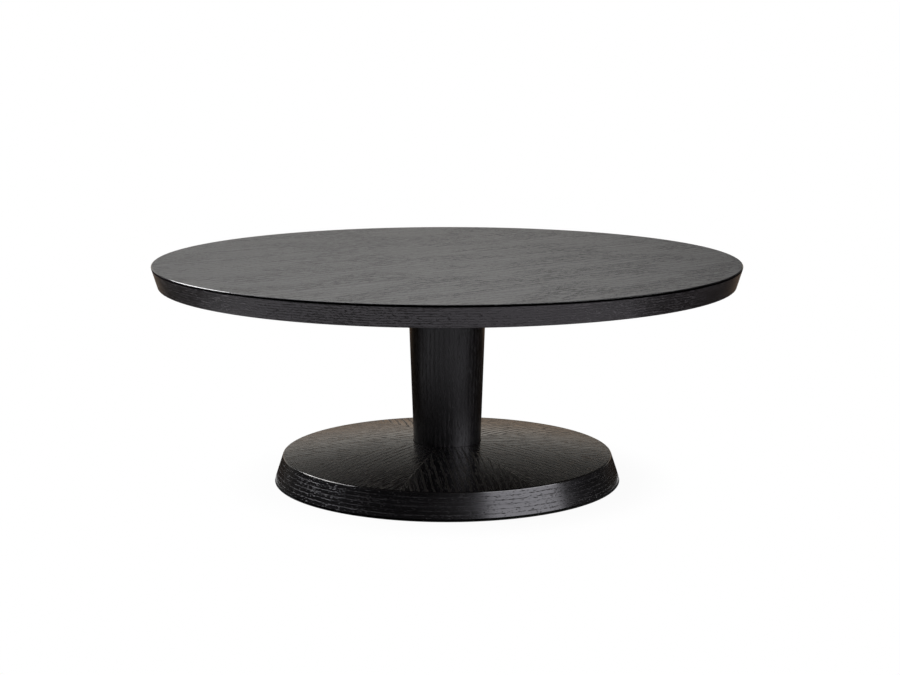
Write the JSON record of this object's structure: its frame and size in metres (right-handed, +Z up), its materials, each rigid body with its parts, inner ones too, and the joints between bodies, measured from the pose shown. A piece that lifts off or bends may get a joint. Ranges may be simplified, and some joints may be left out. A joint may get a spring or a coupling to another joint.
{
  "type": "coffee table",
  "caption": "Low round pedestal table with an under-bevelled veneered top, a tapered column and a domed base disc on levelling glides.",
  "frame": {"origin": "centre of the table on the floor, under the pads of the levelling glides when they are screwed right in", "axes": "+Z up along the column, -Y towards the viewer of the picture, +X to the viewer's right"},
  "size_m": [0.9998, 0.9998, 0.38],
  "materials": {
    "dark_oak_veneer": "dark stained open-pore oak under satin lacquer",
    "raw_fibreboard": "raw sanded fibreboard",
    "raw_beech": "raw turned beech",
    "black_steel": "black powder coat",
    "zinc_steel": "bright zinc plate",
    "black_nylon": "moulded black nylon"
  },
  "bodies": {
    "table": {"tabletop_face_veneer": "dark_oak_veneer", "tabletop_edge_veneer": "dark_oak_veneer", "tabletop_upper_board": "raw_fibreboard", "tabletop_lower_board": "raw_fibreboard", "tabletop_backing_veneer": "dark_oak_veneer", "mounting_plate": "black_steel", "mounting_plate_hub": "black_steel", "mounting_plate_screws": "zinc_steel", "column_veneer": "dark_oak_veneer", "column_core": "raw_fibreboard", "column_top_plug": "raw_beech", "column_foot_plug": "raw_beech", "column_top_dowels": "zinc_steel", "column_foot_dowels": "raw_beech", "tie_rod": "zinc_steel", "tie_rod_washer": "zinc_steel", "tie_rod_nut": "zinc_steel", "base_dome_veneer": "dark_oak_veneer", "base_edge_veneer": "dark_oak_veneer", "base_upper_board": "raw_fibreboard", "base_lower_board": "raw_fibreboard", "base_backing_veneer": "dark_oak_veneer", "ballast_plate": "black_steel", "ballast_screws": "zinc_steel", "glide_inserts": "zinc_steel"},
    "glide_back_right": {"glide_stud_1": "zinc_steel", "glide_pad_1": "black_nylon"},
    "glide_back_left": {"glide_stud_2": "zinc_steel", "glide_pad_2": "black_nylon"},
    "glide_front_left": {"glide_stud_3": "zinc_steel", "glide_pad_3": "black_nylon"},
    "glide_front_right": {"glide_stud_4": "zinc_steel", "glide_pad_4": "black_nylon"}
  },
  "joints": [
    {"name": "level_back_right", "type": "slide", "parent": "table", "child": "glide_back_right", "axis": [0, 0, -1], "range_m": [0, 0.01]},
    {"name": "level_back_left", "type": "slide", "parent": "table", "child": "glide_back_left", "axis": [0, 0, -1], "range_m": [0, 0.01]},
    {"name": "level_front_left", "type": "slide", "parent": "table", "child": "glide_front_left", "axis": [0, 0, -1], "range_m": [0, 0.01]},
    {"name": "level_front_right", "type": "slide", "parent": "table", "child": "glide_front_right", "axis": [0, 0, -1], "range_m": [0, 0.01]}
  ]
}
